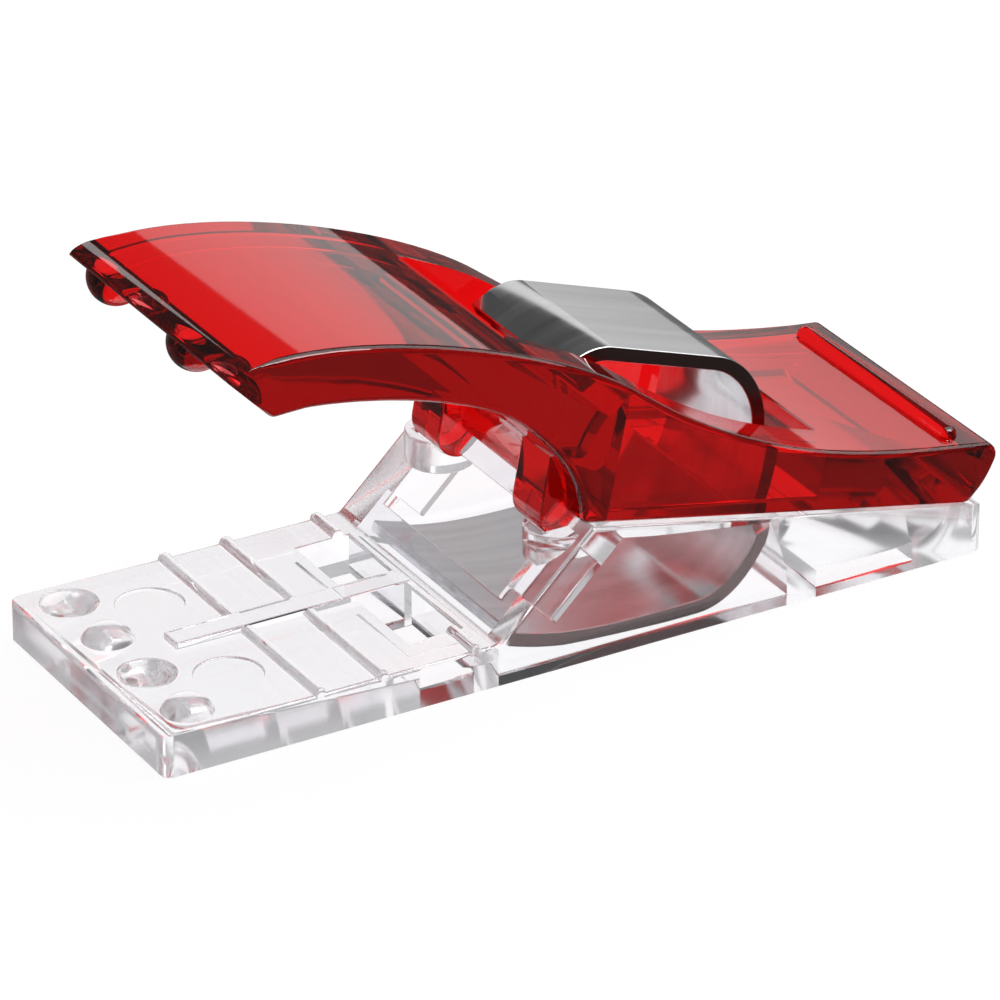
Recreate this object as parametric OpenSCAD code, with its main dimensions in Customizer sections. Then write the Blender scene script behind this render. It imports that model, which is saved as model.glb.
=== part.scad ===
// Small spring clip that holds layers of fabric or bag openings together.
// A clear lower jaw lies flat, a tinted upper jaw rocks on two cups in it, and one bent strip
// of spring steel reaches round the back of both jaws and presses the noses together.
// Lengths are millimetres. X runs from nose to tail, Y across, Z up from the flat underside.
// Places along X are counted from the lower jaw's nose, and the finished pieces are moved so
// that the origin lies under the middle of the lower jaw.
// The clip is drawn squeezed open, with the tail of the upper jaw just over the deck.

/* [Overall] */
// Width of both jaws
clip_w = 9.5; // [9:0.1:12]
// Angle from noses together to tail on deck
open_angle = 46; // [42:1:48]

/* [Lower jaw] */
// Length of the lower jaw
base_l = 27.2; // [26.6:0.1:28.5]
// Thickness of the flat plate
plate_t = 1.3; // [1.1:0.05:1.5]
// Distance from the nose to the foot of the ramp
ramp_x = 10.8; // [10.7:0.1:11.2]
// Steepness of the ramp
ramp_angle = 44; // [42:0.5:46]
// Fall of the deck toward the tail
deck_slope = 11.5; // [10.5:0.5:12.5]
// Height of the deck at the tail
tail_t = 1.5; // [1.4:0.05:1.7]
// Radius of the plate's corners, seen from above
nose_corner_r = 0.4; // [0.2:0.05:1]
// Radius of the tail's corners, seen from above
tail_corner_r = 0.5; // [0.2:0.05:1]
// Thickness of the side walls round the spring
side_wall = 0.95; // [0.8:0.05:1]
// Thickness of the ramp over the tip of the spring's foot
ramp_skin = 0.4; // [0.3:0.05:0.45]
// Thickness of the bars on both sides of the ramp's window
bar_t = 1.5; // [1.3:0.05:1.6]
// Width of those bars inside the side walls
bar_w = 0.5; // [0.3:0.05:0.6]
// Thickness of the deck over the spring
deck_skin = 0.6; // [0.5:0.05:0.65]

/* [Seam guide] */
// Distances of the guide ridges from the nose
guide_marks = [5, 7, 10]; // [4:0.5:10]
// Radius of the guide ridges
guide_r = 0.2; // [0.1:0.02:0.3]
// Width of the spine along the middle of the plate
spine_w = 0.8; // [0.5:0.05:1]
// Where the spine starts, from the nose
spine_x = 2.75; // [2.7:0.05:4]

/* [Moulding holes] */
// Start of the two square holes ahead of the ramp, from the nose
hole_x = 8.6; // [8.3:0.1:9]
// Length of each hole
hole_l = 1.75; // [1:0.05:1.8]
// Width of each hole
hole_w = 2.9; // [2:0.1:3.2]
// Diameter of the shallow ejector marks
mark_d = 2; // [1:0.1:2.4]
// Depth of the ejector marks
mark_h = 0.06; // [0.04:0.01:0.15]

/* [Gripping teeth] */
// Spacing of the domes and dimples across the nose
tooth_pitch = 2.4; // [2:0.05:2.5]
// Diameter of a dome
tooth_d = 1.55; // [1:0.05:1.65]
// Height of a dome
tooth_h = 0.5; // [0.3:0.05:0.55]
// Distance of the teeth from the nose of the lower jaw
tooth_x = 1.4; // [1.35:0.01:1.45]
// Room between a dome and its dimple
tooth_clear = 0.1; // [0.08:0.01:0.15]

/* [Pivot] */
// Radius of the two barrels that the upper jaw rocks on
barrel_r = 0.8; // [0.6:0.02:0.85]
// Length of each barrel
barrel_l = 1.6; // [1.2:0.05:1.7]
// Distance of the barrels from the middle
barrel_y = 2.9; // [2.75:0.05:3]
// Room round a barrel in its cup
barrel_clear = 0.04; // [0.02:0.01:0.08]
// Diameter of the round posts that hold the cups
post_d = 2.1; // [2:0.05:2.3]
// Distance of the posts from the middle
post_y = 3.4; // [3.2:0.05:3.5]
// Depth of the cup's rim below the pivot
cup_drop = 0.42; // [0.4:0.02:0.55]
// Length of the posts below the rim
post_l = 1; // [0.8:0.05:1.3]
// Height of the pivot over the peak of the ramp
pivot_rise = 0.13; // [0.1:0.01:0.2]
// Distance of the pivot ahead of the peak of the ramp
pivot_lead = 0.35; // [0.3:0.05:0.5]

/* [Upper jaw] */
// Gap between the closed noses
pad_gap = 0.06; // [0.04:0.01:0.12]
// Distance of the upper nose behind the lower one
nose_setback = 0.3; // [0.2:0.05:0.35]
// Length of the flat gripping pad
pad_l = 2.15; // [2.1:0.05:2.3]
// Height of the blunt nose
nose_h = 0.65; // [0.6:0.05:0.9]
// Height of the arch over the pivot
crown_h = 1.15; // [1.1:0.05:1.4]
// Distance of the arch's crown ahead of the pivot
crown_lead = 3.7; // [3.5:0.1:4]
// Height of the waist over the pivot
waist_h = 3.95; // [3.8:0.05:4.2]
// Distance of the waist ahead of the pivot
waist_lead = 1.3; // [1.1:0.1:1.5]
// Length of the thumb end's underside
rear_l = 13.65; // [13.2:0.05:13.9]
// Length of the thumb end's end face
tail_h = 1.9; // [1.7:0.05:2.1]
// Gap between the thumb end and the deck when squeezed open
rest_gap = 0.1; // [0.08:0.01:0.15]
// Distance of the thumb bar from the end
bar_inset = 1.3; // [1.1:0.05:1.6]
// Radius of the thumb bar
bar_r = 0.3; // [0.2:0.02:0.35]
// Length of the thumb bar
bar_l = 8.2; // [6:0.1:8.6]

/* [Spring] */
// Thickness of the steel strip
spring_t = 0.44; // [0.4:0.01:0.46]
// Width of the upper tongue
tongue_w = 5.1; // [4.7:0.1:5.2]
// Width of the lower foot
foot_w = 7.3; // [7:0.1:7.4]
// Distance from the nose to the back of the spring
spring_back_x = 20.65; // [20.5:0.05:20.8]
// Gap between the lower foot and the ground
foot_gap = 0.12; // [0.1:0.01:0.16]
// Gap between the tongue's tip and its seat in the upper jaw
seat_gap = 0.05; // [0.03:0.01:0.1]
// Room on each side of the tongue in the upper jaw
slot_side = 0.45; // [0.4:0.05:0.6]
// Room on each side of the tongue in the deck
deck_side = 0.25; // [0.2:0.05:0.35]

/* [Hidden] */
$fn = 64;
// Middle of the lower jaw's underside, which becomes the origin
middle = [base_l / 2, 0, 0];
// Overlap that lets a cut pass clean through a face
over = 0.5;
// Straight pieces in a curve and in a rounded corner
curve_steps = 24;
corner_steps = 6;

// Fillets of the lower jaw's outline
edge_r = 0.15;
foot_fillet = 0.6;
peak_r = 0.15;
tail_r = 0.4;
// The cavity starts behind a solid web, and its back wall leans over the spring
web_l = 0.65;
cavity_front = hole_x + hole_l + web_l;
cavity_back = spring_back_x;
cavity_top_lean = 0.6;
cavity_top_angle = 120;
cavity_pull = 0.9;
// Window in the ramp, and where its thick bars start, measured along the slope
window_start = 1;
window_margin = 0.7;
window_w = clip_w - 2 * side_wall - 2 * bar_w;
bar_start = 1.4;
// Deck slot, which ends under the back of the spring
deck_slot_l = 1.5;
// Recess under the tail, behind a solid rib
tail_rib = 1;
recess_x = cavity_back + tail_rib;
recess_l = 3.3;
recess_h = 0.55;
// The ejector marks start just under the tip of the closed upper jaw
mark_lap = 0.1;
mark_x = nose_setback + pad_l - mark_lap + mark_d / 2;
mark_y = clip_w / 4;

// Heights of the ramp and the deck lines, lowered by a skin
function ramp_z(x, skin) = plate_t + (x - ramp_x) * tan(ramp_angle) - skin / cos(ramp_angle);
function deck_z(x, skin) = tail_t + (base_l - x) * tan(deck_slope) - skin / cos(deck_slope);
// Where the two lines meet
function peak(skin_r, skin_d) =
    let (rise = deck_z(ramp_x, skin_d) - ramp_z(ramp_x, skin_r))
    let (x = ramp_x + rise / (tan(ramp_angle) + tan(deck_slope)))
    [x, ramp_z(x, skin_r)];

// Place at a distance up the ramp and a depth under it
function ramp_point(along, depth) =
    [ramp_x, plate_t] + along * heading(ramp_angle) + depth * heading(ramp_angle - 90);

outer_peak = peak(0, 0);
inner_peak = peak(bar_t, deck_skin);
pivot = outer_peak + [-pivot_lead, pivot_rise];
ramp_l = norm(outer_peak - [ramp_x, plate_t]);
hole_y = spine_w / 2 + hole_w / 2;

// Outline helpers in the XZ plane
function heading(angle) = [cos(angle), sin(angle)];
function unit(v) = v / norm(v);
function left_of(v) = [-v.y, v.x];
function bezier(p, q, r, s, t) =
    pow(1 - t, 3) * p + 3 * t * pow(1 - t, 2) * q + 3 * t * t * (1 - t) * r + pow(t, 3) * s;
// Curve from one point and heading to another, with the pull of each end as a length
function curve(from, from_angle, from_pull, to, to_angle, to_pull) =
    let (q = from + from_pull * heading(from_angle))
    let (r = to - to_pull * heading(to_angle))
    [for (i = [0:curve_steps]) bezier(from, q, r, to, i / curve_steps)];
// Corner between two straight runs, replaced by an arc
function corner(before, at, after, radius) =
    let (u = unit(before - at), v = unit(after - at))
    let (half = acos(u * v) / 2)
    let (centre = at + unit(u + v) * radius / sin(half))
    let (a = at + u * radius / tan(half) - centre, b = at + v * radius / tan(half) - centre)
    [for (i = [0:corner_steps]) centre + radius * unit(a + (b - a) * i / corner_steps)];
function without_first(list) = [for (i = [1:len(list) - 1]) list[i]];
function reversed(list) = [for (i = [len(list) - 1:-1:0]) list[i]];
function beside(path, distance) =
    let (last = len(path) - 1)
    [for (i = [0:last])
        path[i] + distance * left_of(unit(path[min(i + 1, last)] - path[max(i - 1, 0)]))];

// Upper jaw with the noses together
rear_angle = open_angle - deck_slope;
pad_z = plate_t + pad_gap;
nose_low = [nose_setback, pad_z];
toe = nose_low + [pad_l, 0];
toe_angle = 48;
toe_h = 1.03;
arch_start = toe + toe_h * heading(toe_angle);
arch_angle = 42;
crown = pivot + [-crown_lead, crown_h];
heel_angle = -40;
pivot_over_deck = (pivot.y - deck_z(pivot.x, 0)) * cos(deck_slope);
heel = pivot + (rest_gap - pivot_over_deck) * heading(rear_angle + 90);
heel_run = 0.4;
arch_end = heel - heel_run * heading(heel_angle);
tail_low = heel + rear_l * heading(rear_angle);
tail_lean = 77;
tail_top = tail_low + tail_h * heading(rear_angle + tail_lean);
tail_angle = 218;
waist = pivot + [-waist_lead, waist_h];
waist_angle = 187.5;
nose_lean = 0.45;
nose_top = nose_low + [nose_lean, nose_h];
nose_angle = 234;
// Pulls of the curves, as shares of the straight distance they span
arch_front_pull = 0.26;
arch_back_pull = 0.36;
top_back_pull = 0.36;
top_front_pull = 0.26;
// Fillets of the upper jaw's outline
nose_r = 0.1;
toe_r = 0.3;
heel_r = 0.25;
end_low_r = 0.2;
end_top_r = 0.35;
jaw_corner_r = 0.5;

jaw_outline = concat(
    corner(nose_top, nose_low, toe, nose_r),
    corner(nose_low, toe, arch_start, toe_r),
    curve(arch_start, arch_angle, arch_front_pull * norm(crown - arch_start),
        crown, 0, arch_front_pull * norm(crown - arch_start)),
    without_first(curve(crown, 0, arch_back_pull * norm(arch_end - crown),
        arch_end, heel_angle, arch_back_pull * norm(arch_end - crown))),
    corner(arch_end, heel, tail_low, heel_r),
    corner(heel, tail_low, tail_top, end_low_r),
    corner(tail_low, tail_top, tail_top + heading(tail_angle), end_top_r),
    without_first(curve(tail_top + 2 * end_top_r * heading(tail_angle), tail_angle,
        top_back_pull * norm(waist - tail_top), waist, waist_angle,
        top_back_pull * norm(waist - tail_top))),
    without_first(curve(waist, waist_angle, top_front_pull * norm(nose_top - waist),
        nose_top, nose_angle, top_front_pull * norm(nose_top - waist)))
);

// Seat of the spring's tip in the upper jaw, and the recess round it
seat_back = 0.8;
seat_depth = 1.25;
seat = waist - [seat_back, seat_depth];
seat_slope = 9.6;
seat_ahead = 2.8;
seat_behind = 1.2;
recess_front = seat - seat_ahead * heading(seat_slope);
recess_end = seat + seat_behind * heading(seat_slope);
recess_wall_angle = 118;
// Height that takes the cuts of the slot out through the top
cut_h = waist_h + tail_h;

// Places on the opened upper jaw
function opened(p) =
    let (d = p - pivot)
    pivot + [d.x * cos(open_angle) + d.y * sin(open_angle),
        d.y * cos(open_angle) - d.x * sin(open_angle)];

// Middle line of the spring: a straight rise from its tip on the upper jaw, a bend to the flat top,
// a tighter bend at the back, and a wide one to its foot in the lower jaw
tip_lift = 63;
tip_angle = seat_slope - open_angle + tip_lift;
tip = opened(seat + (seat_gap + spring_t / 2) * heading(seat_slope + 90));
rise_l = 0.55;
rise_end = tip + rise_l * heading(tip_angle);
crest_l = 0.6;
flat_angle = -18.5;
flat_start = rise_end + crest_l * (heading(tip_angle) + heading(flat_angle));
flat_l = 3.65;
flat_end = flat_start + flat_l * heading(flat_angle);
back_h = 0.3;
back = [spring_back_x, pivot.y + back_h];
back_angle = -95;
bend_l = 2.95;
foot_back = [spring_back_x - bend_l, foot_gap + spring_t / 2];
foot_lift = 0.65;
foot_lead = 0.45;
foot_tip = [cavity_front + foot_lead, foot_gap + spring_t / 2 + foot_lift];
foot_angle = 160;
crest_pull = 0.4;
back_upper_pull = 1.05;
back_lower_pull = 1.8;
foot_back_pull = 1.7;
foot_pull = 2.2;
spring_path = concat(
    [tip],
    curve(rise_end, tip_angle, crest_pull, flat_start, flat_angle, crest_pull),
    curve(flat_end, flat_angle, back_upper_pull, back, back_angle, back_upper_pull),
    without_first(curve(back, back_angle, back_lower_pull, foot_back, 180, foot_back_pull)),
    without_first(curve(foot_back, 180, foot_pull, foot_tip, foot_angle, foot_pull))
);
// Height where the narrow tongue widens into the foot
shoulder_drop = 0.12;
shoulder_z = deck_z(spring_back_x, deck_skin) - shoulder_drop;

// The slot in the upper jaw, measured along its rear underside from the heel
back_along = (back - opened(heel)) * heading(-deck_slope);
slot_start = 1.4;
slot_rear_room = 1.4;
slot_end = back_along + spring_t / 2 + slot_rear_room;
slot_w = tongue_w + 2 * slot_side;

// Barrels of the upper jaw and the webs that carry them
web_angle = 215;
barrel_web_l = 1.9;
web_front = pivot + barrel_r * heading(web_angle);
web_top = web_front + barrel_web_l * heading(web_angle - 90);
web_reach = [-0.6, 1.2];
web_inside = pivot + web_reach;

// Teeth across the nose, and the sphere that a dome is cut from
tooth_count = 4;
tooth_r = (pow(tooth_d / 2, 2) + pow(tooth_h, 2)) / (2 * tooth_h);

// A side outline given width across Y
module across(outline, width) {
    rotate([90, 0, 0])
    linear_extrude(width, center = true)
    polygon(outline);
}

// Upright block with rounded corners that trims an outline seen from above
module plan(x_front, x_back, front_r, back_r, height) {
    half = clip_w / 2;
    linear_extrude(height)
    union() {
        for (side = [-1, 1]) {
            translate([x_front + front_r, side * (half - front_r)]) circle(front_r);
            translate([x_back - back_r, side * (half - back_r)]) circle(back_r);
        }
        polygon([
            [x_front, front_r - half],
            [x_front + front_r, -half],
            [x_back - back_r, -half],
            [x_back, back_r - half],
            [x_back, half - back_r],
            [x_back - back_r, half],
            [x_front + front_r, half],
            [x_front, half - front_r]
        ]);
    }
}

// The teeth stand in a row, and domes and dimples take turns
module teeth(first, z, radius) {
    for (i = [first:2:tooth_count - 1]) {
        translate([tooth_x, (i - (tooth_count - 1) / 2) * tooth_pitch, z]) sphere(radius);
    }
}

module base_body() {
    outline = concat(
        corner([0, plate_t], [0, 0], [base_l, 0], edge_r),
        corner([0, 0], [base_l, 0], [base_l, tail_t], edge_r),
        corner([base_l, 0], [base_l, tail_t], outer_peak, tail_r),
        corner([base_l, tail_t], outer_peak, [ramp_x, plate_t], peak_r),
        corner(outer_peak, [ramp_x, plate_t], [0, plate_t], foot_fillet),
        corner([ramp_x, plate_t], [0, plate_t], [0, 0], edge_r)
    );
    intersection() {
        across(outline, clip_w);
        plan(0, base_l, nose_corner_r, tail_corner_r, outer_peak.y + over);
    }
}

module cavity() {
    top_x = cavity_back - cavity_top_lean;
    back_wall = curve([cavity_back, 0], 90, cavity_pull,
        [top_x, deck_z(top_x, deck_skin)], cavity_top_angle, cavity_pull);
    inside = concat(
        [[cavity_front, -over], [cavity_back, -over]],
        back_wall,
        [
            inner_peak,
            ramp_point(bar_start, bar_t),
            ramp_point(bar_start, ramp_skin),
            [cavity_front, ramp_z(cavity_front, ramp_skin)]
        ]
    );
    across(inside, clip_w - 2 * side_wall);
}

module ramp_window() {
    translate([ramp_x, 0, plate_t])
    rotate([0, -ramp_angle, 0])
    translate([window_start, -window_w / 2, -over - bar_t])
    cube([ramp_l - window_margin - window_start, window_w, bar_t + 2 * over]);
}

module seam_guide() {
    spine_l = hole_x + hole_l - spine_x;
    translate([spine_x, -spine_w / 2, plate_t - guide_r]) cube([spine_l, spine_w, 2 * guide_r]);
    for (x = guide_marks) {
        translate([x, 0, plate_t])
        rotate([90, 0, 0])
        cylinder(r = guide_r, h = clip_w, center = true);
    }
}

module barrels(radius, length) {
    for (side = [-1, 1]) {
        translate([pivot.x, side * barrel_y, pivot.y])
        rotate([90, 0, 0])
        cylinder(r = radius, h = length, center = true);
    }
}

module base_cuts() {
    teeth(1, pad_z - tooth_h + tooth_r, tooth_r + tooth_clear);
    for (side = [-1, 1]) {
        translate([hole_x, side * hole_y - hole_w / 2, -over])
        cube([hole_l, hole_w, plate_t + guide_r + 2 * over]);
        translate([mark_x, side * mark_y, plate_t - mark_h])
        cylinder(d = mark_d, h = mark_h + over);
    }
    barrels(barrel_r + barrel_clear, barrel_l + 2 * barrel_clear);
    translate([spring_back_x - deck_slot_l, -tongue_w / 2 - deck_side, plate_t])
    cube([deck_slot_l, tongue_w + 2 * deck_side, outer_peak.y]);
    translate([recess_x, side_wall - clip_w / 2, -over])
    cube([recess_l, clip_w - 2 * side_wall, recess_h + over]);
}

module lower_jaw() {
    color([0.88, 0.9, 0.92, 0.5])
    translate(-middle)
    difference() {
        union() {
            difference() {
                base_body();
                cavity();
                ramp_window();
            }
            for (side = [-1, 1]) {
                translate([pivot.x, side * post_y, pivot.y - cup_drop - post_l])
                cylinder(d = post_d, h = post_l);
            }
            seam_guide();
            intersection() {
                teeth(0, plate_t + tooth_h - tooth_r, tooth_r);
                translate([0, -clip_w / 2, plate_t / 2]) cube([2 * tooth_x, clip_w, plate_t]);
            }
        }
        base_cuts();
    }
}

// Opening for the spring: a slot square to the rear underside, and the recess for its tip
module jaw_slot() {
    along = heading(rear_angle);
    up = heading(rear_angle + 90);
    slot_low = heel - over * up;
    slot_high = heel + cut_h * up;
    rotate([90, 0, 0])
    linear_extrude(slot_w, center = true)
    union() {
        polygon([
            slot_low + slot_start * along,
            slot_low + slot_end * along,
            slot_high + slot_end * along,
            slot_high + slot_start * along
        ]);
        polygon([
            recess_front,
            recess_end,
            recess_end + [0, cut_h],
            recess_front + cut_h * heading(recess_wall_angle)
        ]);
    }
}

module closed_jaw() {
    difference() {
        union() {
            intersection() {
                across(jaw_outline, clip_w);
                plan(nose_low.x, tail_low.x, nose_corner_r, jaw_corner_r, tail_top.y + over);
            }
            barrels(barrel_r, barrel_l);
            for (side = [-1, 1]) {
                translate([0, side * barrel_y, 0])
                across([pivot, web_inside, web_top, web_front], barrel_l);
            }
            thumb_bar();
            intersection() {
                teeth(1, pad_z - tooth_h + tooth_r, tooth_r);
                translate([0, -clip_w / 2, pad_z - tooth_h])
                cube([2 * tooth_x, clip_w, tooth_h + nose_h / 2]);
            }
        }
        jaw_slot();
        teeth(0, plate_t + tooth_h - tooth_r, tooth_r + tooth_clear);
    }
}

// Rounded bar across the thumb end
module thumb_bar() {
    place = tail_top + bar_inset * heading(tail_angle);
    half = bar_l / 2 - bar_r;
    translate([place.x, 0, place.y]) {
        rotate([90, 0, 0]) cylinder(r = bar_r, h = 2 * half, center = true);
        for (side = [-1, 1]) {
            translate([0, side * half, 0]) sphere(bar_r);
        }
    }
}

module upper_jaw() {
    color([0.78, 0.05, 0.09, 0.85])
    translate([pivot.x, 0, pivot.y] - middle)
    rotate([0, open_angle, 0])
    translate([-pivot.x, 0, -pivot.y])
    closed_jaw();
}

module leaf_spring() {
    strip = concat(
        beside(spring_path, spring_t / 2),
        reversed(beside(spring_path, -spring_t / 2))
    );
    color([0.7, 0.7, 0.72])
    translate(-middle)
    union() {
        across(strip, tongue_w);
        intersection() {
            across(strip, foot_w);
            translate([0, -clip_w / 2, 0]) cube([base_l, clip_w, shoulder_z]);
        }
    }
}

lower_jaw();
upper_jaw();
leaf_spring();
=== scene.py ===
# %% [markdown]
# # A small spring clip in clear and red plastic
# This lesson dresses a clip that holds layers of fabric together. It has three pieces: a clear
# lower jaw, a translucent red upper jaw that rocks on it, and one bent strip of spring steel.
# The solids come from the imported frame, at their real size in metres, so nothing has to be
# measured or moved here. What Blender adds is rounded edges, finishes, light and a camera.

# %% Load the frame
import math

import bmesh
import bpy
from mathutils import Matrix, Vector


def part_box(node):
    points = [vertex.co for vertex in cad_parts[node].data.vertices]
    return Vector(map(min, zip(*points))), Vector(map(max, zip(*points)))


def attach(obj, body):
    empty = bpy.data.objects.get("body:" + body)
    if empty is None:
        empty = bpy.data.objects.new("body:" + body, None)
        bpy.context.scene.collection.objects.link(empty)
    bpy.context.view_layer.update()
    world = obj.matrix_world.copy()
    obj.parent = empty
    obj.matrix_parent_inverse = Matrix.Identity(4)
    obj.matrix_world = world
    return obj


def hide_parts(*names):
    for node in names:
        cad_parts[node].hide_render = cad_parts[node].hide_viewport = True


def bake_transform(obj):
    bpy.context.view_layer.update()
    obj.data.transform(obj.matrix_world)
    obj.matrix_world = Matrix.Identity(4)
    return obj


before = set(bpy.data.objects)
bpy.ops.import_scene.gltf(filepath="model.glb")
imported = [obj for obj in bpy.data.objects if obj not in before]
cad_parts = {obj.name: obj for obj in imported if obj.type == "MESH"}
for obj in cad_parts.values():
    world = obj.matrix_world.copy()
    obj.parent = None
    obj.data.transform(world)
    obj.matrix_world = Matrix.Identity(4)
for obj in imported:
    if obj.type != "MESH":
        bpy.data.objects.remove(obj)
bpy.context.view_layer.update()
MM = 0.001
print("solids:", sorted(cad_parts))

# %% [markdown]
# ## Moulded edges
# A moulding has no knife-sharp edges: the tool is polished, and every outer edge ends in a tiny
# radius that catches a line of light. We could model that radius in the solids, or fake it in the
# shader. Here each solid is copied, its seams are welded, and its flat triangles are joined into
# whole faces. The copy keeps the solid's shape to a tenth of a millimetre, and it replaces the
# solid in the picture only.

# %% A welded copy of a solid
WELD = 0.002 * MM
FLAT_ANGLE = math.radians(1)
EDGE_ANGLE = math.radians(38)


def welded(node):
    """The node's mesh as one closed skin with whole flat faces."""
    skin = bmesh.new()
    skin.from_mesh(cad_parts[node].data)
    bmesh.ops.remove_doubles(skin, verts=skin.verts, dist=WELD)
    bmesh.ops.dissolve_limit(skin, angle_limit=FLAT_ANGLE, verts=skin.verts, edges=skin.edges)
    bmesh.ops.recalc_face_normals(skin, faces=skin.faces)
    return skin


def outer_edges(skin):
    """Edges that stand out and turn more than a gentle curve does."""
    shared = [e for e in skin.edges if len(e.link_faces) == 2]
    return [e for e in shared if e.calc_face_angle_signed() > EDGE_ANGLE]


for node in sorted(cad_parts):
    skin = welded(node)
    print(node, "welds to", len(skin.faces), "faces with", len(outer_edges(skin)), "outer edges")
    skin.free()

# %% [markdown]
# ## Gripping teeth
# The teeth are domes and dimples across the nose, cut from balls, and a dome of one jaw lies in a
# dimple of the other when the clip is closed. A dome is a cap of known width and height, which
# gives its ball's radius, and the dimple's ball is a little larger. The lever's teeth are worked
# out closed, over the plate, and then turned open about the pivot with the rest of the lever.

# %% Where the teeth are
TEETH_X = -12.2 * MM
TEETH_Y = [-3.6 * MM, -1.2 * MM, 1.2 * MM, 3.6 * MM]
TOOTH_WIDTH = 1.55 * MM
TOOTH_HEIGHT = 0.5 * MM
TOOTH_PLAY = 0.1 * MM
PLATE_LEVEL = 1.3 * MM
PAD_LEVEL = 1.36 * MM
PIVOT = Vector((-0.125, 0, 4.35118)) * MM
OPEN_ANGLE = math.radians(46)

DOME_R = ((TOOTH_WIDTH / 2) ** 2 + TOOTH_HEIGHT ** 2) / (2 * TOOTH_HEIGHT)
DIMPLE_R = DOME_R + TOOTH_PLAY
LOW_BALL_Z = PLATE_LEVEL + TOOTH_HEIGHT - DOME_R
HIGH_BALL_Z = PAD_LEVEL - TOOTH_HEIGHT + DOME_R


def teeth(z, first):
    """Middles of every second ball across the nose."""
    return [Vector((TEETH_X, y, z)) for y in TEETH_Y[first::2]]


def opened(place):
    """Where a place on the closed lever lies once the clip is squeezed open."""
    return PIVOT + Matrix.Rotation(OPEN_ANGLE, 3, "Y") @ (place - PIVOT)


print("dome radius", round(DOME_R / MM, 3), "mm, dimple radius", round(DIMPLE_R / MM, 3), "mm")

# %% [markdown]
# The solids carry the teeth as loose triangles, which is plenty for holding cloth and too little
# for clear plastic, where every facet bends the light. So the triangles are taken out, and rings
# of even faces run from the tooth's rim to its top. A separate ball on top would do for a dome,
# but not for a dimple, and it would leave a seam.

# %% Even rings for a tooth
BALL_SLACK = 0.012 * MM
BALL_RINGS = 10


def facets_on(skin, middle, radius):
    """Faces whose points all lie on the ball."""
    def on_ball(point):
        return abs((point.co - middle).length - radius) < BALL_SLACK
    return [f for f in skin.faces if all(on_ball(v) for v in f.verts)]


def rim_of(facets):
    """Points round a patch of faces, in order."""
    inside = set(facets)
    after = {}
    for facet in facets:
        for loop in facet.loops:
            if any(face not in inside for face in loop.edge.link_faces):
                after[loop.vert] = loop.link_loop_next.vert
    rim = [next(iter(after))]
    while after[rim[-1]] is not rim[0]:
        rim.append(after[rim[-1]])
    return rim


def even_tooth(skin, middle, radius):
    """Rebuild one dome or dimple as rings of faces between its rim and its top."""
    facets = facets_on(skin, middle, radius)
    rim = rim_of(facets)
    top = sum((f.normal * f.calc_area() for f in facets), Vector())
    top = top.normalized() * (1 if top.dot(rim[0].co - middle) > 0 else -1)
    bmesh.ops.delete(skin, geom=facets, context="FACES")
    ring = rim
    starts = [(point.co - middle).normalized() for point in rim]
    for step in range(1, BALL_RINGS):
        share = step / BALL_RINGS
        places = [middle + radius * start.slerp(top, share) for start in starts]
        higher = [skin.verts.new(place) for place in places]
        for i in range(len(rim)):
            skin.faces.new((ring[i - 1], ring[i], higher[i], higher[i - 1]))
        ring = higher
    tip = skin.verts.new(middle + radius * top)
    for i in range(len(rim)):
        skin.faces.new((ring[i - 1], ring[i], tip))
    print("tooth at", [round(c / MM, 2) for c in middle], "has", len(rim), "points round its rim")


# %% [markdown]
# ## Long rims
# The two flat sides of a jaw meet its top and bottom in one long rim, which has the largest
# radius. A bevel stumbles where that rim runs out at the rounded corners, so the rim is built by
# hand: the rim's points move inward across the clip, rings of faces follow a quarter circle, and
# the radius fades to nothing where the flat side ends.

# %% Flat sides, and where their rims fade
SIDE_SLACK = 0.001
SIDE_LEAST = 5 * MM * MM


def flat_sides(skin):
    """The two large faces that look straight across the clip."""
    across = [f for f in skin.faces if abs(f.normal.y) > 1 - SIDE_SLACK]
    return [f for f in across if f.calc_area() > SIDE_LEAST]


def rim_reach(points, sharp, fade):
    """For each point round a side, how far it lies from a soft seam, as a share of the fade."""
    count = len(points)
    reach = [fade if sharp[i - 1] and sharp[i] else 0 for i in range(count)]
    for step in (1, -1):
        for turn in range(2 * count):
            i = turn * step % count
            before = (i - step) % count
            reach[i] = min(reach[i], reach[before] + (points[i].co - points[before].co).length)
    return [r / fade for r in reach]


# %% A flat side with a rounded rim
RIM_STEPS = 4


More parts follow.
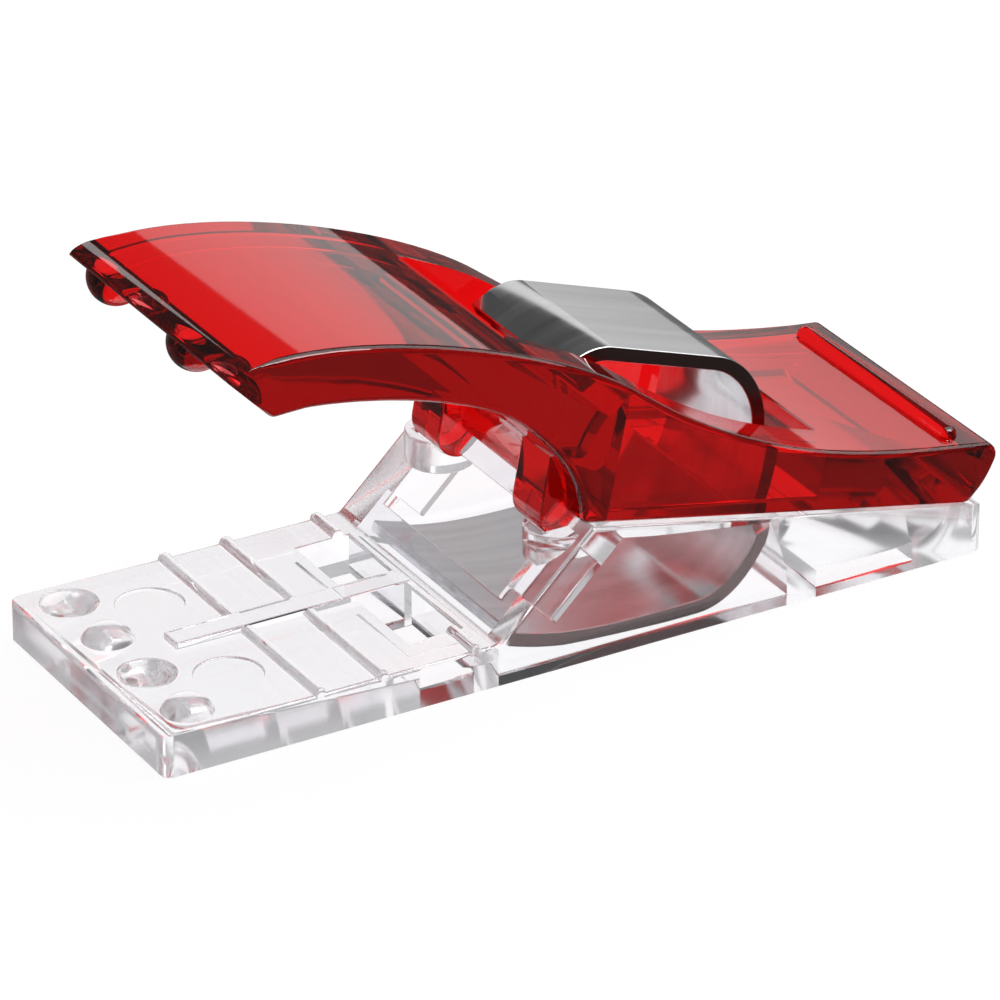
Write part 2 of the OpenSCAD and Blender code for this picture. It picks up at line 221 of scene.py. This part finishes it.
def rounded_side(skin, side, radius, fade):
    """Replace a flat side by rings that roll over to it from the faces round it."""
    out = side.normal.copy()
    points = [loop.vert for loop in side.loops]
    sharp = [loop.edge.calc_face_angle(0) > EDGE_ANGLE for loop in side.loops]
    reach = rim_reach(points, sharp, fade)
    rings = [points] + [[] for _ in range(RIM_STEPS)]
    moves = []
    for i, point in enumerate(points):
        place = point.co.copy()
        to_here = out.cross(place - points[i - 1].co).normalized()
        from_here = out.cross(points[(i + 1) % len(points)].co - place).normalized()
        inward = (to_here + from_here) / (1 + to_here.dot(from_here))
        size = radius * reach[i]
        moves.append(place - size * out)
        for step in range(1, RIM_STEPS + 1):
            turn = math.pi / 2 * step / RIM_STEPS
            sunk = size * (1 - math.sin(turn))
            moved = size * (1 - math.cos(turn))
            ring_place = place - sunk * out + moved * inward
            rings[step].append(skin.verts.new(ring_place) if size else point)
    for point, place in zip(points, moves):
        point.co = place
    bmesh.ops.delete(skin, geom=[side], context="FACES_ONLY")
    for outer, inner in zip(rings, rings[1:]):
        for i in range(len(points)):
            j = (i + 1) % len(points)
            corners = dict.fromkeys([outer[i], outer[j], inner[j], inner[i]])
            if len(corners) > 2:
                skin.faces.new(list(corners))
    skin.faces.new(rings[-1])
    print("a side of", len(points), "points is rounded to", round(radius / MM, 2), "mm")


# %% [markdown]
# ## Small radii
# The other outer edges, such as those of slots, cups and barrels, get a small radius from
# Blender's own bevel. On the mouldings it works by edge weight, so that it stays clear of the
# long rims, and its result is kept as the mesh. The strip is bevelled straight away, all round.

# %% A skin as an object


def shown(name, skin):
    """An object for the skin, smooth where it curves and sharp where it turns."""
    for face in skin.faces:
        face.smooth = True
    for edge in skin.edges:
        turn = edge.calc_face_angle(0) if len(edge.link_faces) == 2 else math.pi
        edge.smooth = turn < EDGE_ANGLE
    mesh = bpy.data.meshes.new(name)
    skin.to_mesh(mesh)
    skin.free()
    if "custom_normal" in mesh.attributes:
        mesh.attributes.remove(mesh.attributes["custom_normal"])
    piece = bpy.data.objects.new(name, mesh)
    bpy.context.scene.collection.objects.link(piece)
    return piece


def settle(piece):
    """Keep what the modifiers make as the piece's own mesh."""
    finished = piece.evaluated_get(bpy.context.evaluated_depsgraph_get())
    made = bpy.data.meshes.new_from_object(finished)
    piece.modifiers.clear()
    piece.data = made
    print(piece.name, "has", len(made.polygons), "faces")


def flat_faces_stay_flat(piece):
    """Weighted normals, so a bevel doesn't bend the light on the face beside it."""
    normals = piece.modifiers.new("flat faces", "WEIGHTED_NORMAL")
    normals.keep_sharp = True


# %% A moulded piece and a stamped one
BEVEL_STEPS = 3
CORNER_REACH = 0.25 * MM


def moulding(node, name, domes, dimples, rim_radius, fade, radius):
    """A piece that shows the node with even teeth, and its long rims and other edges rounded."""
    skin = welded(node)
    for middle in domes:
        even_tooth(skin, middle, DOME_R)
    for middle in dimples:
        even_tooth(skin, middle, DIMPLE_R)
    half_width = max(v.co.y for v in skin.verts)
    for side in flat_sides(skin):
        if abs(side.calc_center_median().y) > half_width - WELD:
            rounded_side(skin, side, rim_radius, fade)
    weights = skin.edges.layers.float.new("bevel_weight_edge")
    inside = half_width - CORNER_REACH
    small = [e for e in outer_edges(skin) if all(abs(v.co.y) < inside for v in e.verts)]
    for edge in small:
        edge[weights] = 1
    piece = shown(name, skin)
    rounding = piece.modifiers.new("rounded edges", "BEVEL")
    rounding.limit_method = "WEIGHT"
    rounding.width = radius
    rounding.segments = BEVEL_STEPS
    rounding.use_clamp_overlap = False
    print(name, "has", len(small), "small rounded edges")
    settle(piece)
    flat_faces_stay_flat(piece)
    return piece


def stamping(node, name, radius):
    """A piece that shows the node with all its outer edges rounded."""
    skin = welded(node)
    edges = outer_edges(skin)
    bmesh.ops.bevel(skin, geom=edges, offset=radius, offset_type="OFFSET", segments=BEVEL_STEPS,
                    profile=0.5, affect="EDGES", clamp_overlap=False)
    print(name, "has", len(edges), "rounded edges")
    piece = shown(name, skin)
    flat_faces_stay_flat(piece)
    return piece


# %% [markdown]
# ## Red lever
# The upper jaw is one moulding: the curved lever that a thumb presses, with the gripping pad at
# its nose and two barrels that rock in the base. It swings as a whole, so it rides on its own
# body. Its long rims have the largest radius on the clip.

# %% Red lever
RIM_FADE = 1 * MM
LEVER_RIM = 0.2 * MM
LEVER_EDGE = 0.06 * MM
lever_domes = [opened(place) for place in teeth(HIGH_BALL_Z, 1)]
lever_dimples = [opened(place) for place in teeth(LOW_BALL_Z, 0)]
lever = moulding("upper_jaw", "red_lever", lever_domes, lever_dimples,
                 LEVER_RIM, RIM_FADE, LEVER_EDGE)
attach(lever, "upper_jaw")
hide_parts("upper_jaw")

# %% [markdown]
# ## Clear base
# The lower jaw is the plate that slides under the cloth, with the posts, the ramp and the deck in
# one piece. It is made as the lever is, with smaller radii, because its walls are thinner.

# %% Clear base
BASE_RIM = 0.14 * MM
BASE_EDGE = 0.05 * MM
base_domes = teeth(LOW_BALL_Z, 0)
base_dimples = teeth(HIGH_BALL_Z, 1)
base = moulding("lower_jaw", "clear_base", base_domes, base_dimples,
                BASE_RIM, RIM_FADE, BASE_EDGE)
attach(base, "lower_jaw")
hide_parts("lower_jaw")

# %% [markdown]
# ## Steel strip
# The spring is stamped from strip and bent. On the real clip its foot stays in the base while its
# tongue follows the lever, and the bend at the back shares the motion out. Riding on one body
# would tear it off the other, so here the strip rides on neither and keeps still. Only the
# heights where that bend would start and end are worked out.

# %% Steel strip
STRIP_EDGE = 0.05 * MM
BLEND_LOW = 0.3
BLEND_HIGH = 0.92
strip = stamping("leaf_spring", "steel_strip", STRIP_EDGE)
low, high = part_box("leaf_spring")
bend_start = (high.x, 0, low.z + BLEND_LOW * (high.z - low.z))
bend_end = (high.x, 0, low.z + BLEND_HIGH * (high.z - low.z))
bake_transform(strip)
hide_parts("leaf_spring")
bend_span = [round(place[2] / MM, 2) for place in (bend_start, bend_end)]
print("the strip bends between these heights in mm:", bend_span)

# %% [markdown]
# ## Finishes from noise
# A real surface is never the same all over. Each finish here starts from noise in the piece's own
# space, which moves with the piece. The noise is spread into a small range of roughness, a small
# range of colour, and a bump of a few thousandths of a millimetre. Painted pictures would do the
# same, but they need unwrapping and don't scale.

# %% A material and its noise


def material(name):
    """A new material, its tree and its main shader."""
    made = bpy.data.materials.new(name)
    made.use_nodes = True
    tree = made.node_tree
    return made, tree, tree.nodes["Principled BSDF"]


def noise(tree, scale, detail, stretch=(1, 1, 1)):
    """Noise in the piece's own space, with one scale per axis."""
    place = tree.nodes.new("ShaderNodeTexCoord")
    mapping = tree.nodes.new("ShaderNodeMapping")
    mapping.inputs["Scale"].default_value = stretch
    texture = tree.nodes.new("ShaderNodeTexNoise")
    texture.inputs["Scale"].default_value = scale
    texture.inputs["Detail"].default_value = detail
    tree.links.new(place.outputs["Object"], mapping.inputs["Vector"])
    tree.links.new(mapping.outputs["Vector"], texture.inputs["Vector"])
    return texture.outputs["Fac"]


def dress(piece, made):
    """Give the piece this one material."""
    piece.data.materials.clear()
    piece.data.materials.append(made)
    print(piece.name, "is finished in", made.name)


# %% From noise to numbers, colours and bumps
NOISE_LOW = 0.3
NOISE_HIGH = 0.7


def ramp(tree, value, low, high):
    """A number that runs from low to high with the noise."""
    spread = tree.nodes.new("ShaderNodeMapRange")
    spread.inputs["From Min"].default_value = NOISE_LOW
    spread.inputs["From Max"].default_value = NOISE_HIGH
    spread.inputs["To Min"].default_value = low
    spread.inputs["To Max"].default_value = high
    tree.links.new(value, spread.inputs["Value"])
    return spread.outputs["Result"]


def tint(tree, value, low, high):
    """A colour that runs from low to high with the noise."""
    colours = tree.nodes.new("ShaderNodeValToRGB")
    first, last = colours.color_ramp.elements
    first.position = NOISE_LOW
    last.position = NOISE_HIGH
    first.color = (*low, 1)
    last.color = (*high, 1)
    tree.links.new(value, colours.inputs["Fac"])
    return colours.outputs["Color"]


def bump(tree, shader, value, strength, height):
    """A bump of that height in metres on the shader."""
    relief = tree.nodes.new("ShaderNodeBump")
    relief.inputs["Strength"].default_value = strength
    relief.inputs["Distance"].default_value = height
    tree.links.new(value, relief.inputs["Height"])
    tree.links.new(relief.outputs["Normal"], shader.inputs["Normal"])


# %% [markdown]
# ## Clear plastic
# Both mouldings are glass-like: light bends on the way in, bounces inside and bends on the way
# out. Paint can't give that, so the shader transmits. Slow noise on the roughness and a faint
# bump stand for the flow of the melt in the tool. The clear one swallows next to nothing. It is
# a little less than polished, because in a perfect polish the many bounces inside the teeth
# would break up into specks.

# %% Clear plastic
PLASTIC_IOR = 1.57
FLOW_SCALE = 140
FLOW_DETAIL = 2
FLOW_STRETCH = (0.5, 1, 1)
FLOW_BUMP = 0.05
FLOW_HEIGHT = 0.02 * MM


def swallow(tree, colour, density):
    """Light that passes through the piece takes on this colour."""
    volume = tree.nodes.new("ShaderNodeVolumeAbsorption")
    volume.inputs["Color"].default_value = (*colour, 1)
    volume.inputs["Density"].default_value = density
    tree.links.new(volume.outputs["Volume"], tree.nodes["Material Output"].inputs["Volume"])


def moulded_plastic(name, colours, roughness, depth, density):
    """See-through plastic: colours and roughness on it, and colour and density within."""
    made, tree, shader = material(name)
    flow = noise(tree, FLOW_SCALE, FLOW_DETAIL, FLOW_STRETCH)
    tree.links.new(tint(tree, flow, *colours), shader.inputs["Base Color"])
    tree.links.new(ramp(tree, flow, *roughness), shader.inputs["Roughness"])
    shader.inputs["IOR"].default_value = PLASTIC_IOR
    shader.inputs["Transmission Weight"].default_value = 1
    bump(tree, shader, flow, FLOW_BUMP, FLOW_HEIGHT)
    swallow(tree, depth, density)
    return made


CLEAR_COLOURS = (0.97, 0.97, 1), (0.995, 0.985, 1)
CLEAR_ROUGHNESS = 0.06, 0.1
CLEAR_DEPTH = (0.86, 0.88, 0.92)
CLEAR_DENSITY = 14
dress(base, moulded_plastic("clear_moulding", CLEAR_COLOURS, CLEAR_ROUGHNESS,
                            CLEAR_DEPTH, CLEAR_DENSITY))

# %% [markdown]
# ## Red plastic
# The red plastic has the same flow marks and a better polish, and it swallows green and blue on
# the way through, in its volume. So thin places glow and thick ones go dark, as coloured plastic
# does, which a red surface over clear plastic wouldn't give.

# %% Red plastic
RED_COLOURS = (0.87, 0.2, 0.21), (0.93, 0.26, 0.28)
RED_ROUGHNESS = 0.02, 0.06
RED_DEPTH = (0.953, 0.04, 0.08)
RED_DENSITY = 2200
dress(lever, moulded_plastic("red_moulding", RED_COLOURS, RED_ROUGHNESS,
                             RED_DEPTH, RED_DENSITY))

# %% [markdown]
# ## Spring steel
# The strip is rolled, then sheared to width. Rolling leaves a satin face with fine lines along the
# strip, and shearing leaves dull dark edges. One metal shader does both: stretched noise makes the
# lines, and the way a face points across the clip tells an edge from a rolled face.

# %% Spring steel
ROLL_SCALE = 900
ROLL_DETAIL = 4
ROLL_STRETCH = (0.12, 1.6, 0.12)
ROLL_BUMP = 0.25
ROLL_HEIGHT = 0.004 * MM
ROLL_SMOOTH = 0.14
ROLL_ROUGH = 0.22
STEEL_COLOURS = (0.66, 0.66, 0.67), (0.84, 0.84, 0.85)
SHEARED_COLOUR = (0.13, 0.085, 0.085)
FACE_UP_TO = 0.6
EDGE_FROM = 0.9


def sheared_edge(tree):
    """1 on faces that point across the clip, 0 on the rolled faces."""
    place = tree.nodes.new("ShaderNodeTexCoord")
    parts = tree.nodes.new("ShaderNodeSeparateXYZ")
    across = tree.nodes.new("ShaderNodeMath")
    across.operation = "ABSOLUTE"
    edge = tree.nodes.new("ShaderNodeMapRange")
    edge.inputs["From Min"].default_value = FACE_UP_TO
    edge.inputs["From Max"].default_value = EDGE_FROM
    tree.links.new(place.outputs["Normal"], parts.inputs["Vector"])
    tree.links.new(parts.outputs["Y"], across.inputs[0])
    tree.links.new(across.outputs["Value"], edge.inputs["Value"])
    return edge.outputs["Result"]


def spring_steel():
    """Satin rolled faces with fine lines, and dull sheared edges."""
    made, tree, shader = material("rolled_steel")
    rolled = noise(tree, ROLL_SCALE, ROLL_DETAIL, ROLL_STRETCH)
    mix = tree.nodes.new("ShaderNodeMix")
    mix.data_type = "RGBA"
    mix.inputs["B"].default_value = (*SHEARED_COLOUR, 1)
    tree.links.new(sheared_edge(tree), mix.inputs["Factor"])
    tree.links.new(tint(tree, rolled, *STEEL_COLOURS), mix.inputs["A"])
    tree.links.new(mix.outputs["Result"], shader.inputs["Base Color"])
    shader.inputs["Metallic"].default_value = 1
    tree.links.new(ramp(tree, rolled, ROLL_SMOOTH, ROLL_ROUGH), shader.inputs["Roughness"])
    bump(tree, shader, rolled, ROLL_BUMP, ROLL_HEIGHT)
    return made


dress(strip, spring_steel())

# %% [markdown]
# ## Floor
# The clip lies on a white sheet. A white floor under full light would burn out and light the clip
# from below, so the sheet is painted grey and glows instead: brightly for the eye and for light
# that comes through the plastic, and hardly at all in mirrored light. What light falls on it
# still shows, which keeps the clip's shadow.

# %% How bright a backdrop is, and for whom


def larger(tree, one, two):
    """The larger of two numbers of the tree."""
    pick = tree.nodes.new("ShaderNodeMath")
    pick.operation = "MAXIMUM"
    tree.links.new(one, pick.inputs[0])
    tree.links.new(two, pick.inputs[1])
    return pick.outputs["Value"]


def times(tree, value, factor):
    """A number of the tree times a constant, or times another number of the tree."""
    product = tree.nodes.new("ShaderNodeMath")
    product.operation = "MULTIPLY"
    tree.links.new(value, product.inputs[0])
    if isinstance(factor, bpy.types.NodeSocket):
        tree.links.new(factor, product.inputs[1])
    else:
        product.inputs[1].default_value = factor
    return product.outputs["Value"]


def seen(tree, direct, through, mirrored):
    """How bright a backdrop is for the eye, for light through plastic and for mirrored light."""
    ray = tree.nodes.new("ShaderNodeLightPath").outputs
    glossy = times(tree, ray["Is Glossy Ray"], mirrored)
    clear = times(tree, ray["Is Transmission Ray"], through)
    return larger(tree, times(tree, ray["Is Camera Ray"], direct), larger(tree, clear, glossy))


# %% Floor
FLOOR_SIZE = 900 * MM
FLOOR_DROP = 0.01 * MM
FLOOR_GLOW = 0.93
FLOOR_THROUGH = 1
FLOOR_MIRRORED = 0.05
PAPER_COLOURS = (0.14, 0.14, 0.14), (0.15, 0.15, 0.15)
PAPER_SCALE = 30
PAPER_DETAIL = 3
WHITE = (1, 1, 1, 1)


def paper_white():
    """Dull paper with a faint grain, which glows as a lit backdrop does."""
    made, tree, shader = material("paper_white")
    shader.inputs["Roughness"].default_value = 1
    shader.inputs["Specular IOR Level"].default_value = 0
    grain = noise(tree, PAPER_SCALE, PAPER_DETAIL)
    tree.links.new(tint(tree, grain, *PAPER_COLOURS), shader.inputs["Base Color"])
    glow = seen(tree, FLOOR_GLOW, FLOOR_THROUGH, FLOOR_MIRRORED)
    shader.inputs["Emission Color"].default_value = WHITE
    tree.links.new(glow, shader.inputs["Emission Strength"])
    return made


def sheet(name, size):
    """A flat square that belongs to the stage."""
    half = size / 2
    corners = [(-half, -half, 0), (half, -half, 0), (half, half, 0), (-half, half, 0)]
    mesh = bpy.data.meshes.new(name)
    mesh.from_pydata(corners, [], [(0, 1, 2, 3)])
    made = bpy.data.objects.new(name, mesh)
    bpy.context.scene.collection.objects.link(made)
    return made


floor = sheet("floor", FLOOR_SIZE)
floor.location.z = -FLOOR_DROP
dress(floor, paper_white())

# %% [markdown]
# ## Lamps
# Three lamps light the clip. A low white card behind it is what the red lever's top and the steel
# mirror as a broad pale band, and the dark room over the card is what makes the rest of them deep.
# A softbox overhead lights the floor and the clip evenly. A narrow lamp along the clip, high up in
# front, draws the white line on its rims. It is for that line alone, so it is hidden from dull
# surfaces and from light that comes through the plastic. The card is hidden from the latter too.

# %% A lamp


def lamp(name, place, aim, width, height, radiance):
    """A rectangular area light of that radiance, aimed at a point."""
    data = bpy.data.lights.new(name, "AREA")
    data.shape = "RECTANGLE"
    data.size = width
    data.size_y = height
    data.energy = radiance * math.pi * width * height
    made = bpy.data.objects.new(name, data)
    made.location = place
    made.rotation_euler = (Vector(place) - Vector(aim)).to_track_quat("Z", "Y").to_euler()
    bpy.context.scene.collection.objects.link(made)
    print(name, "at", [round(c / MM) for c in place], "mm, radiance", radiance)
    return made


# %% Card behind the clip
CARD_TURN = math.radians(55)
CARD_AWAY = 300 * MM
CARD_WIDTH = 420 * MM
CARD_LOW = 24 * MM
CARD_HIGH = 142 * MM
CARD_RADIANCE = 0.74
card_middle = (CARD_LOW + CARD_HIGH) / 2
card_place = (CARD_AWAY * math.cos(CARD_TURN), CARD_AWAY * math.sin(CARD_TURN), card_middle)
back_card = lamp("back_card", card_place, (0, 0, card_middle),
                 CARD_WIDTH, CARD_HIGH - CARD_LOW, CARD_RADIANCE)
back_card.visible_transmission = False

# %% Softbox overhead, and a narrow lamp for the rims
CLIP_MIDDLE_Z = 6 * MM
SOFTBOX_PLACE = (149 * MM, 0, 306 * MM)
SOFTBOX_WIDTH = 280 * MM
SOFTBOX_HEIGHT = 500 * MM
SOFTBOX_RADIANCE = 2
lamp("softbox", SOFTBOX_PLACE, (0, 0, CLIP_MIDDLE_Z),
     SOFTBOX_WIDTH, SOFTBOX_HEIGHT, SOFTBOX_RADIANCE)

EDGE_PLACE = (107 * MM, -137 * MM, 256 * MM)
EDGE_WIDTH = 250 * MM
EDGE_HEIGHT = 110 * MM
EDGE_RADIANCE = 9
edge_light = lamp("edge_light", EDGE_PLACE, (EDGE_PLACE[0], 0, CLIP_MIDDLE_Z),
                  EDGE_WIDTH, EDGE_HEIGHT, EDGE_RADIANCE)
edge_light.visible_diffuse = False
edge_light.visible_transmission = False

# %% [markdown]
# ## Room
# Beyond the floor there is a plain room. The eye sees it as white. Through the plastic it is
# paler low down than overhead, which gives the clear facets their greys. In mirrored and
# scattered light it is almost dark, so that the lamps do the lighting.

# %% Room
ROOM_LOW = 0.5
ROOM_HIGH = 0.8
ROOM_THROUGH_LOW = 0.55
ROOM_THROUGH_HIGH = 0.2
ROOM_MIRRORED = 0.08
ROOM_SCATTERED = 0.08
world = bpy.data.worlds.new("room")
bpy.context.scene.world = world
world.use_nodes = True
room = world.node_tree
sky = room.nodes["Background"]
sky.inputs["Color"].default_value = WHITE
direction = room.nodes.new("ShaderNodeTexCoord")
parts = room.nodes.new("ShaderNodeSeparateXYZ")
room.links.new(direction.outputs["Generated"], parts.inputs["Vector"])
rising = room.nodes.new("ShaderNodeMapRange")
rising.inputs["From Min"].default_value = ROOM_LOW
rising.inputs["From Max"].default_value = ROOM_HIGH
rising.inputs["To Min"].default_value = ROOM_THROUGH_LOW
rising.inputs["To Max"].default_value = ROOM_THROUGH_HIGH
room.links.new(parts.outputs["Z"], rising.inputs["Value"])
scattered = room.nodes.new("ShaderNodeMath")
scattered.operation = "MAXIMUM"
scattered.inputs[1].default_value = ROOM_SCATTERED
room.links.new(seen(room, 1, rising.outputs["Result"], ROOM_MIRRORED), scattered.inputs[0])
room.links.new(scattered.outputs["Value"], sky.inputs["Strength"])
print("through plastic the room goes from", ROOM_THROUGH_LOW, "low down to", ROOM_THROUGH_HIGH)

# %% [markdown]
# ## Camera
# The clip is seen from the front left, a little above, through a long lens that keeps the jaws'
# edges almost parallel. Light in clear plastic bounces many times before it gets out, so more
# bounces than usual are allowed. With too few, the plastic would show black spots.

# %% Camera
CAMERA_TURN = math.radians(-30.19)
CAMERA_RISE = math.radians(27.39)
CAMERA_AWAY = 197.56 * MM
CAMERA_AIM = Vector((-0.085, 0, 3.067)) * MM
CAMERA_NEAREST = 1 * MM
LENS = 247.2
SENSOR = 36
BOUNCES = 32
PLASTIC_BOUNCES = 24
back = Vector((
    math.sin(CAMERA_TURN) * math.cos(CAMERA_RISE),
    -math.cos(CAMERA_TURN) * math.cos(CAMERA_RISE),
    math.sin(CAMERA_RISE),
))
lens = bpy.data.cameras.new("camera")
lens.lens = LENS
lens.sensor_width = SENSOR
lens.clip_start = CAMERA_NEAREST
camera = bpy.data.objects.new("camera", lens)
camera.location = CAMERA_AIM + CAMERA_AWAY * back
camera.rotation_euler = back.to_track_quat("Z", "Y").to_euler()
scene = bpy.context.scene
scene.collection.objects.link(camera)
scene.camera = camera
scene.view_settings.view_transform = "Standard"
scene.cycles.max_bounces = BOUNCES
scene.cycles.glossy_bounces = PLASTIC_BOUNCES
scene.cycles.transmission_bounces = PLASTIC_BOUNCES
print("camera at", [round(c / MM, 1) for c in camera.location], "mm")
